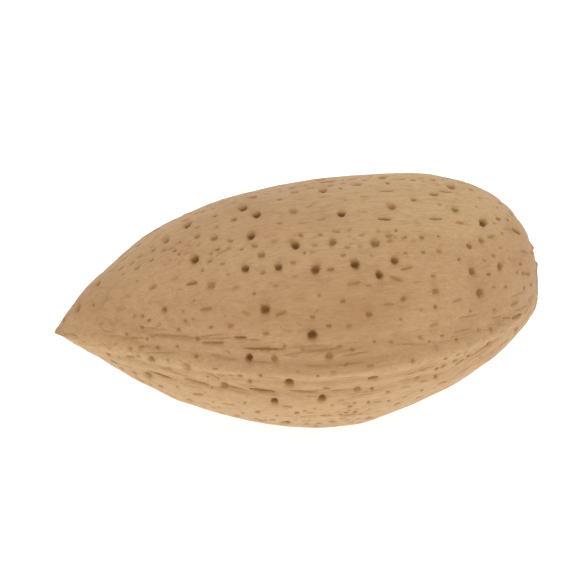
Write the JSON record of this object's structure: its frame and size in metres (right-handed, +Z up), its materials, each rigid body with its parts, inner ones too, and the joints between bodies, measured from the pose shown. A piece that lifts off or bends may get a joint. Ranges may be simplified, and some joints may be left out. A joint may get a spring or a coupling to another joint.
{
  "type": "almond in its shell",
  "caption": "Whole almond in its closed woody shell: flattened teardrop with a pointed tip, blunt stem end, pitted flanks and a seam ridge, lying on its flank.",
  "frame": {"origin": "on the surface it lies on, under the middle of the nut's footprint box", "axes": "+X from the pointed tip to the blunt stem end, -Y towards the belly edge of the seam, +Z up"},
  "size_m": [0.0338, 0.0216, 0.0162],
  "materials": {
    "shell": "matte, woody, finely pitted"
  },
  "bodies": {
    "root": {"almond_shell": "shell"}
  },
  "joints": []
}
